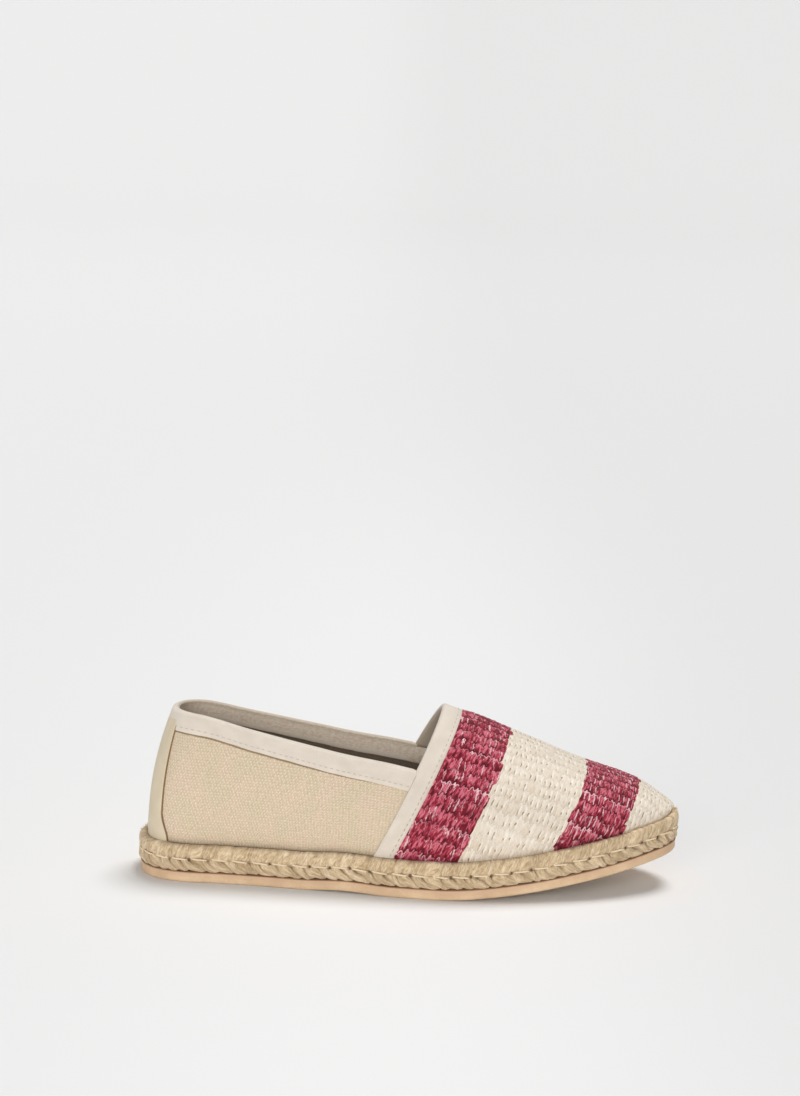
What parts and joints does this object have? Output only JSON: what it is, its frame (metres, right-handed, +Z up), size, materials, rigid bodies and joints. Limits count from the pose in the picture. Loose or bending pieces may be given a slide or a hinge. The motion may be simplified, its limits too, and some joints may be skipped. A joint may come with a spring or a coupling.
{
  "type": "espadrille",
  "caption": "Slip-on espadrille for a right foot: canvas quarters and a striped woven vamp with taped edges, on a plaited jute sole with a thin rubber outsole.",
  "frame": {"origin": "on the floor, in the middle of the sole's outline", "axes": "+X from the heel to the toe, +Y to the inner (medial) side of the right foot, +Z up"},
  "size_m": [0.2598, 0.0958, 0.0853],
  "materials": {
    "rubber": "smooth tan crepe rubber, slightly translucent",
    "jute": "plaited natural jute cord with cream stitches",
    "insole_lining": "greige cotton canvas",
    "canvas": "beige cotton canvas",
    "woven_natural": "natural ribbon weave",
    "woven_raspberry": "raspberry ribbon weave with pale floats",
    "cotton_tape": "smooth pale herringbone tape",
    "heel_twill": "fine smooth twill",
    "thread": "waxed cotton thread"
  },
  "bodies": {
    "root": {"outsole": "rubber", "jute_sole": "jute", "insole": "insole_lining", "upper": "canvas", "collar_binding": "cotton_tape", "vamp_binding": "cotton_tape", "backstay": "heel_twill"}
  },
  "joints": []
}
